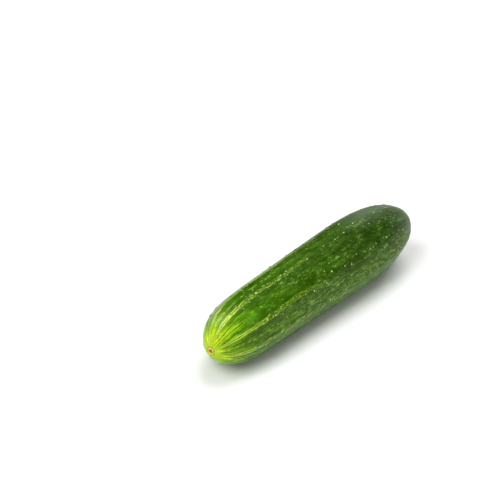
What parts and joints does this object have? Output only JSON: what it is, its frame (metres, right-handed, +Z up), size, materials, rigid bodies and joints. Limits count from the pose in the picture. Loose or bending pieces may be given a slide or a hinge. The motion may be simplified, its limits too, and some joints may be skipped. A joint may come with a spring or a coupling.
{
  "type": "cucumber",
  "caption": "Whole cucumber lying on its side: a blunt-ended, slightly bent and tapered fruit with low ribs, small warts, a blossom scar and a short cut stalk.",
  "frame": {"origin": "on the surface that the cucumber lies on, under the middle of its bounding box", "axes": "+X from the blossom end to the stem end, +Z up, +Y to the side that the body bends towards"},
  "size_m": [0.2002, 0.0492, 0.0493],
  "materials": {
    "skin": "waxy green skin, semi-gloss, with pale lengthwise streaks at the blossom end"
  },
  "bodies": {
    "root": {"cucumber": "skin"}
  },
  "joints": []
}
